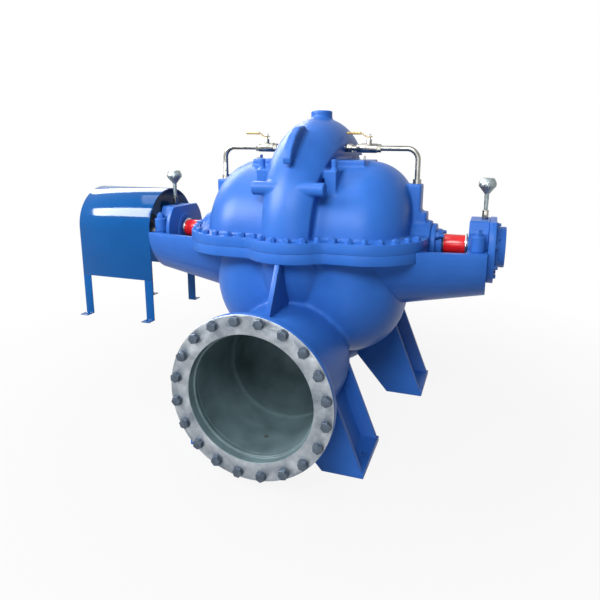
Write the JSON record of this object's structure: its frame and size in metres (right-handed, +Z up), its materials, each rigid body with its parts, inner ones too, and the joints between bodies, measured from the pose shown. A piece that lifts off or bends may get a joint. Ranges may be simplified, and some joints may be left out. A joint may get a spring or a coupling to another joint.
{
  "type": "horizontal split case pump",
  "caption": "Double suction horizontal split case pump with in-line side nozzles, bearing brackets, seal flush pipes with ball valves and an arched coupling guard.",
  "frame": {"origin": "centre of the four foundation bolts, at the underside of the feet, below the middle of the shaft", "axes": "+X along the shaft away from the coupling, +Y towards the rear nozzle, +Z up"},
  "size_m": [2.48, 1.83, 1.735],
  "materials": {
    "casing_blue": "glossy azure blue enamel",
    "guard_blue": "glossy deep blue enamel on sheet",
    "sleeve_red": "glossy red enamel",
    "bright_steel": "turned bright steel",
    "stainless_tube": "drawn stainless tube",
    "lever_yellow": "yellow passivated steel",
    "probe_alloy": "cast aluminium, matt",
    "black_rubber": "matt black",
    "cast_iron": "oiled grey iron"
  },
  "bodies": {
    "pump": {"lower_casing": "casing_blue", "front_nozzle": "casing_blue", "rear_nozzle": "casing_blue", "front_rib": "casing_blue", "upper_casing": "casing_blue", "front_left_foot": "casing_blue", "front_right_foot": "casing_blue", "rear_left_foot": "casing_blue", "rear_right_foot": "casing_blue", "left_bracket": "casing_blue", "left_bearing_cap": "casing_blue", "left_end_flange": "casing_blue", "left_end_cover": "casing_blue", "left_gland": "casing_blue", "left_vent_plug": "bright_steel", "left_flush_pipe": "stainless_tube", "left_valve": "bright_steel", "left_probe_nipple": "stainless_tube", "left_probe": "probe_alloy", "right_bracket": "casing_blue", "right_bearing_cap": "casing_blue", "right_end_flange": "casing_blue", "right_end_cover": "casing_blue", "right_gland": "casing_blue", "right_vent_plug": "bright_steel", "right_flush_pipe": "stainless_tube", "right_valve": "bright_steel", "right_probe_nipple": "stainless_tube", "right_probe": "probe_alloy", "split_gasket": "black_rubber", "guard_shell": "guard_blue", "guard_legs": "guard_blue", "guard_clips": "guard_blue"},
    "rotor": {"shaft": "bright_steel", "left_shaft_sleeve": "sleeve_red", "right_shaft_sleeve": "sleeve_red", "left_slinger": "bright_steel", "right_slinger": "bright_steel", "coupling_half": "cast_iron"},
    "left_lever": {"left_valve_lever": "lever_yellow"},
    "right_lever": {"right_valve_lever": "lever_yellow"}
  },
  "joints": [
    {"name": "rotor_spin", "type": "hinge", "parent": "pump", "child": "rotor", "pos_m": [0, 0, 1.04], "axis": [1, 0, 0], "continuous": true},
    {"name": "left_valve_turn", "type": "hinge", "parent": "pump", "child": "left_lever", "pos_m": [-0.298, 0, 1.59], "axis": [0, 0, 1], "range_deg": [0, 90]},
    {"name": "right_valve_turn", "type": "hinge", "parent": "pump", "child": "right_lever", "pos_m": [0.298, 0, 1.59], "axis": [0, 0, 1], "range_deg": [0, 90]}
  ]
}
